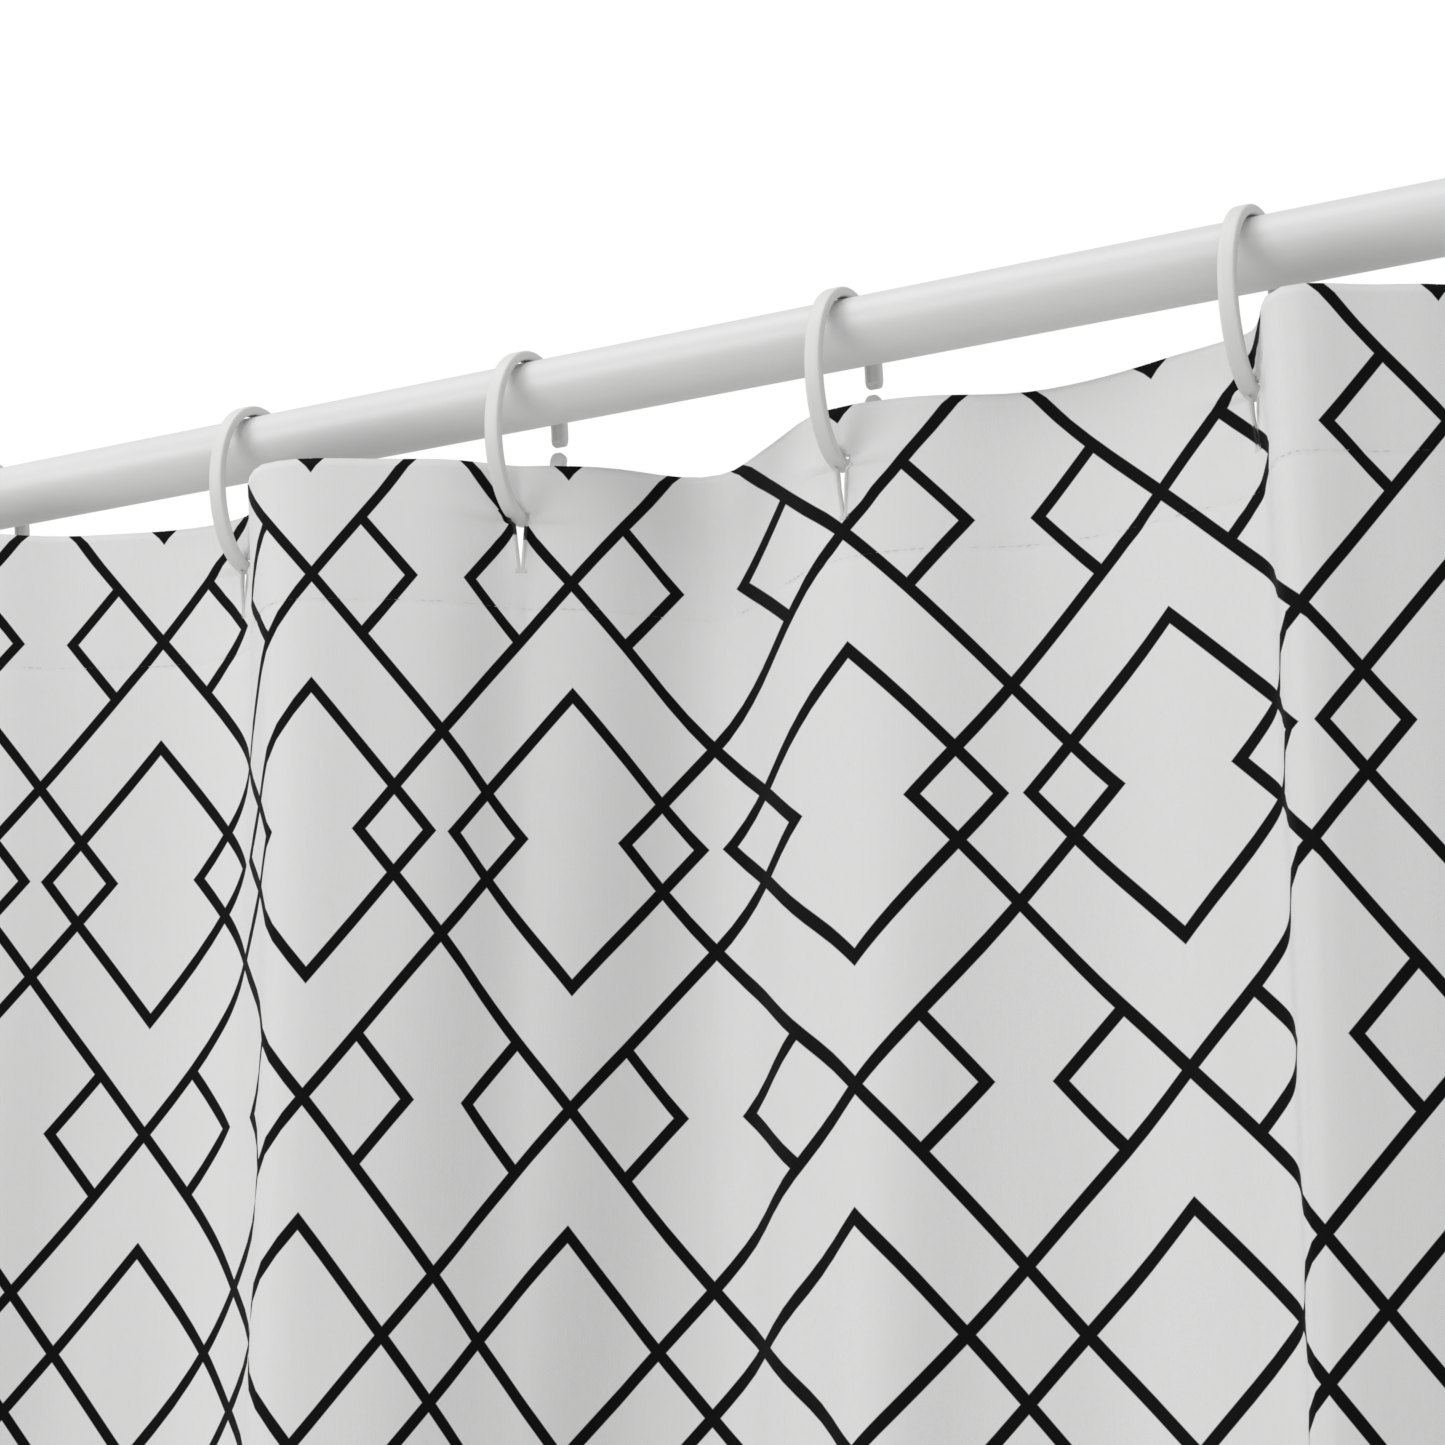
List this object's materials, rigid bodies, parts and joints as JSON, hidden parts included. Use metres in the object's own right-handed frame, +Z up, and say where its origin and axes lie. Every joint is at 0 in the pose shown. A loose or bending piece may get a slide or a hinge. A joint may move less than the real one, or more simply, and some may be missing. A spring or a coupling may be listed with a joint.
{
  "type": "shower curtain",
  "caption": "Fabric shower curtain with sewn buttonholes, hung by clip-on C rings from a straight wall-mounted rod; it swings and draws along the rod.",
  "frame": {"origin": "centre of the left wall plate's back face, on the rod's axis", "axes": "+X along the rod to the right wall, +Y towards the back of the curtain, +Z up"},
  "size_m": [1.7624, 0.0901, 2.0622],
  "materials": {
    "rod": "white powder coat, satin",
    "fitting": "satin moulded",
    "steel": "zinc plated",
    "ring": "matte moulded",
    "cloth": "woven polyester, white with a printed black line pattern",
    "thread": "polyester thread"
  },
  "bodies": {
    "rod": {"rod_tube": "rod", "left_socket": "fitting", "left_cover": "fitting", "left_wall_screw_1": "steel", "left_wall_screw_2": "steel", "left_wall_screw_3": "steel", "left_grub_screw": "steel", "right_socket": "fitting", "right_cover": "fitting", "right_wall_screw_1": "steel", "right_wall_screw_2": "steel", "right_wall_screw_3": "steel", "right_grub_screw": "steel"},
    "curtain": {"curtain_panel": "cloth", "top_hem": "cloth", "bottom_hem": "cloth", "left_side_hem": "cloth", "right_side_hem": "cloth", "buttonhole_stitching_01": "thread", "buttonhole_stitching_02": "thread", "buttonhole_stitching_03": "thread", "buttonhole_stitching_04": "thread", "buttonhole_stitching_05": "thread", "buttonhole_stitching_06": "thread", "buttonhole_stitching_07": "thread", "buttonhole_stitching_08": "thread", "buttonhole_stitching_09": "thread", "buttonhole_stitching_10": "thread", "buttonhole_stitching_11": "thread", "buttonhole_stitching_12": "thread"},
    "ring_01": {"ring_01": "ring"},
    "ring_02": {"ring_02": "ring"},
    "ring_03": {"ring_03": "ring"},
    "ring_04": {"ring_04": "ring"},
    "ring_05": {"ring_05": "ring"},
    "ring_06": {"ring_06": "ring"},
    "ring_07": {"ring_07": "ring"},
    "ring_08": {"ring_08": "ring"},
    "ring_09": {"ring_09": "ring"},
    "ring_10": {"ring_10": "ring"},
    "ring_11": {"ring_11": "ring"},
    "ring_12": {"ring_12": "ring"}
  },
  "joints": [
    {"name": "curtain_swing", "type": "hinge", "parent": "rod", "child": "curtain", "pos_m": [0.85452, 0, 0], "axis": [1, 0, 0], "range_deg": [-20, 20]},
    {"name": "curtain_draw", "type": "slide", "parent": "curtain", "child": "ring_12", "axis": [1, 0, 0], "range_m": [-1.11233, 0], "deforming": ["curtain_panel", "top_hem", "bottom_hem", "left_side_hem", "right_side_hem", "buttonhole_stitching_01", "buttonhole_stitching_02", "buttonhole_stitching_03", "buttonhole_stitching_04", "buttonhole_stitching_05", "buttonhole_stitching_06", "buttonhole_stitching_07", "buttonhole_stitching_08", "buttonhole_stitching_09", "buttonhole_stitching_10", "buttonhole_stitching_11", "buttonhole_stitching_12"]},
    {"name": "ring_01_slide", "type": "slide", "parent": "curtain", "child": "ring_01", "axis": [1, 0, 0], "range_m": [-0.037, 0]},
    {"name": "ring_02_slide", "type": "slide", "parent": "curtain", "child": "ring_02", "axis": [1, 0, 0], "range_m": [-0.13556, 0]},
    {"name": "ring_03_slide", "type": "slide", "parent": "curtain", "child": "ring_03", "axis": [1, 0, 0], "range_m": [-0.22796, 0]},
    {"name": "ring_04_slide", "type": "slide", "parent": "curtain", "child": "ring_04", "axis": [1, 0, 0], "range_m": [-0.33268, 0]},
    {"name": "ring_05_slide", "type": "slide", "parent": "curtain", "child": "ring_05", "axis": [1, 0, 0], "range_m": [-0.43124, 0]},
    {"name": "ring_06_slide", "type": "slide", "parent": "curtain", "child": "ring_06", "axis": [1, 0, 0], "range_m": [-0.52218, 0]},
    {"name": "ring_07_slide", "type": "slide", "parent": "curtain", "child": "ring_07", "axis": [1, 0, 0], "range_m": [-0.61738, 0]},
    {"name": "ring_08_slide", "type": "slide", "parent": "curtain", "child": "ring_08", "axis": [1, 0, 0], "range_m": [-0.72625, 0]},
    {"name": "ring_09_slide", "type": "slide", "parent": "curtain", "child": "ring_09", "axis": [1, 0, 0], "range_m": [-0.81865, 0]},
    {"name": "ring_10_slide", "type": "slide", "parent": "curtain", "child": "ring_10", "axis": [1, 0, 0], "range_m": [-0.91833, 0]},
    {"name": "ring_11_slide", "type": "slide", "parent": "curtain", "child": "ring_11", "axis": [1, 0, 0], "range_m": [-1.01218, 0]}
  ],
  "couplings": [
    {"joint": "ring_01_slide", "follows": "curtain_draw", "ratio": 0.031466},
    {"joint": "ring_02_slide", "follows": "curtain_draw", "ratio": 0.12007},
    {"joint": "ring_03_slide", "follows": "curtain_draw", "ratio": 0.20314},
    {"joint": "ring_04_slide", "follows": "curtain_draw", "ratio": 0.29729},
    {"joint": "ring_05_slide", "follows": "curtain_draw", "ratio": 0.38589},
    {"joint": "ring_06_slide", "follows": "curtain_draw", "ratio": 0.46765},
    {"joint": "ring_07_slide", "follows": "curtain_draw", "ratio": 0.55324},
    {"joint": "ring_08_slide", "follows": "curtain_draw", "ratio": 0.65111},
    {"joint": "ring_09_slide", "follows": "curtain_draw", "ratio": 0.73418},
    {"joint": "ring_10_slide", "follows": "curtain_draw", "ratio": 0.82379},
    {"joint": "ring_11_slide", "follows": "curtain_draw", "ratio": 0.90817}
  ]
}
